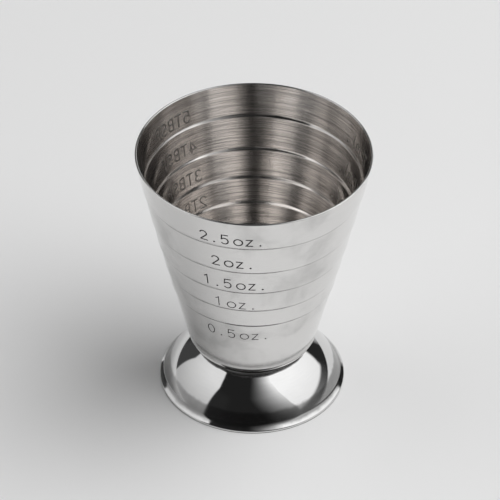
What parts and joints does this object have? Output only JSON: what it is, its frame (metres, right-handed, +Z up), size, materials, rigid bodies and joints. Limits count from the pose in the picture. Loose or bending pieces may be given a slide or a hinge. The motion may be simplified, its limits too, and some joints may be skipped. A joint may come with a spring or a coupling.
{
  "type": "cocktail jigger",
  "caption": "Tall conical steel measuring cup with stepped filling lines inside and out, on a hollow bell-shaped foot with a narrow neck.",
  "frame": {"origin": "centre of the foot's standing edge, on the table", "axes": "+Z up along the cup's axis towards its mouth, X and Y any way round, with the ounce scale facing -Y"},
  "size_m": [0.06, 0.06, 0.073],
  "materials": {
    "cup_steel": "polished outside, with brushed rings inside",
    "foot_steel": "mirror polished",
    "weld_steel": "fused metal"
  },
  "bodies": {
    "root": {"measuring_cup": "cup_steel", "foot": "foot_steel", "weld_nuggets": "weld_steel"}
  },
  "joints": []
}
